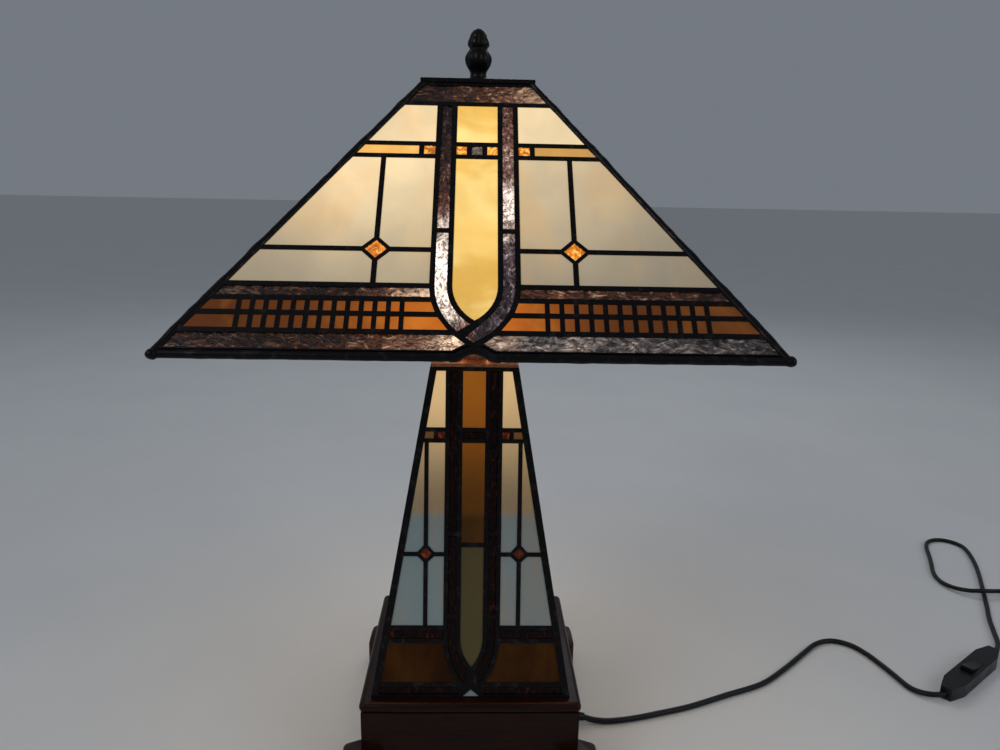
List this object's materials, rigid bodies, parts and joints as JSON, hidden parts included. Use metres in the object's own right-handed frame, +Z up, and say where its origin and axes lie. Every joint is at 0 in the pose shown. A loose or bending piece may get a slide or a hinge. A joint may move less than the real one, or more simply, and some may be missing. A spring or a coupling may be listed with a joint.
{
  "type": "table lamp",
  "caption": "Mission style table lamp with a square leaded glass shade over a tapered leaded glass tower on a dark wooden plinth, with an inline switch on its cord",
  "frame": {"origin": "on the table, under the stem", "axes": "+Z up along the stem, -Y out of the front face, +X towards the side the cord leaves"},
  "size_m": [0.9016, 0.5538, 0.5665],
  "materials": {
    "dark_wood": "polished dark mahogany stain",
    "felt": "felt",
    "cover_board": "plain board",
    "steel": "plated",
    "brass": "satin",
    "bronze": "antique bronze",
    "lead": "black patina solder",
    "socket_plastic": "moulded",
    "bulb_glass": "frosted",
    "cream_glass": "opalescent",
    "amber_glass": "streaky",
    "olive_glass": "streaky",
    "honey_glass": "streaky",
    "brick_glass": "streaky",
    "ripple_glass": "rippled",
    "jewel_glass": "hammered",
    "grey_glass": "plain",
    "black_plastic": "moulded",
    "cord_rubber": "smooth sheath"
  },
  "bodies": {
    "base": {"plinth_top": "dark_wood", "plinth_body": "dark_wood", "plinth_feet": "dark_wood", "felt_pads": "felt", "bottom_cover": "cover_board", "bottom_screws": "steel", "stem_tube": "brass", "stem_nuts": "brass", "stem_washers": "brass", "cord_bushing": "black_plastic", "tower_leads_front": "lead", "tower_leads_right": "lead", "tower_leads_back": "lead", "tower_leads_left": "lead", "tower_corner_cames": "lead", "tower_glass_cream": "cream_glass", "tower_glass_amber": "amber_glass", "tower_glass_olive": "olive_glass", "tower_glass_strips": "ripple_glass", "tower_glass_ripple": "ripple_glass", "tower_glass_honey": "honey_glass", "tower_glass_jewels": "jewel_glass", "tower_top_plate": "bronze", "vase_cap": "bronze", "tower_lamp_bracket": "steel", "tower_lamp_socket": "socket_plastic", "cluster_body": "bronze", "cluster_sockets": "socket_plastic", "cord_to_switch": "cord_rubber", "cord_to_coil": "cord_rubber", "cord_coil": "cord_rubber", "cord_to_plug": "cord_rubber", "switch_bottom": "black_plastic", "switch_top": "black_plastic", "plug_body": "black_plastic", "plug_pins": "brass"},
    "shade": {"shade_leads_front": "lead", "shade_leads_right": "lead", "shade_leads_back": "lead", "shade_leads_left": "lead", "shade_hip_cames": "lead", "shade_rim_cames": "lead", "shade_glass_cream": "cream_glass", "shade_glass_amber": "amber_glass", "shade_glass_honey": "honey_glass", "shade_glass_bricks": "brick_glass", "shade_glass_ripple": "ripple_glass", "shade_glass_strips": "ripple_glass", "shade_glass_jewels": "jewel_glass", "shade_glass_grey": "grey_glass", "shade_cap": "lead", "cap_boss": "lead"},
    "finial": {"finial": "lead"},
    "left_bulb": {"left_bulb_cap": "steel", "left_bulb_glass": "bulb_glass"},
    "right_bulb": {"right_bulb_cap": "steel", "right_bulb_glass": "bulb_glass"},
    "tower_bulb": {"tower_bulb_cap": "steel", "tower_bulb_glass": "bulb_glass"},
    "rocker": {"switch_rocker": "black_plastic"}
  },
  "joints": [
    {"name": "shade_turn", "type": "hinge", "parent": "base", "child": "shade", "pos_m": [0, 0, 0.525], "axis": [0, 0, 1], "continuous": true},
    {"name": "finial_turn", "type": "hinge", "parent": "base", "child": "finial", "pos_m": [0, 0, 0.535], "axis": [0, 0, 1], "continuous": true},
    {"name": "left_bulb_turn", "type": "hinge", "parent": "base", "child": "left_bulb", "pos_m": [0, 0, 0.3695], "axis": [-0.9205, 0, 0.3907], "continuous": true},
    {"name": "right_bulb_turn", "type": "hinge", "parent": "base", "child": "right_bulb", "pos_m": [0, 0, 0.3695], "axis": [0.9205, 0, 0.3907], "continuous": true},
    {"name": "tower_bulb_turn", "type": "hinge", "parent": "base", "child": "tower_bulb", "pos_m": [0, 0.026, 0.1], "axis": [0, 0, 1], "continuous": true},
    {"name": "switch_rock", "type": "hinge", "parent": "base", "child": "rocker", "pos_m": [0.4846, 0.0565, 0.0085], "axis": [0.6018, -0.7986, 0], "range_deg": [0, 18]}
  ]
}
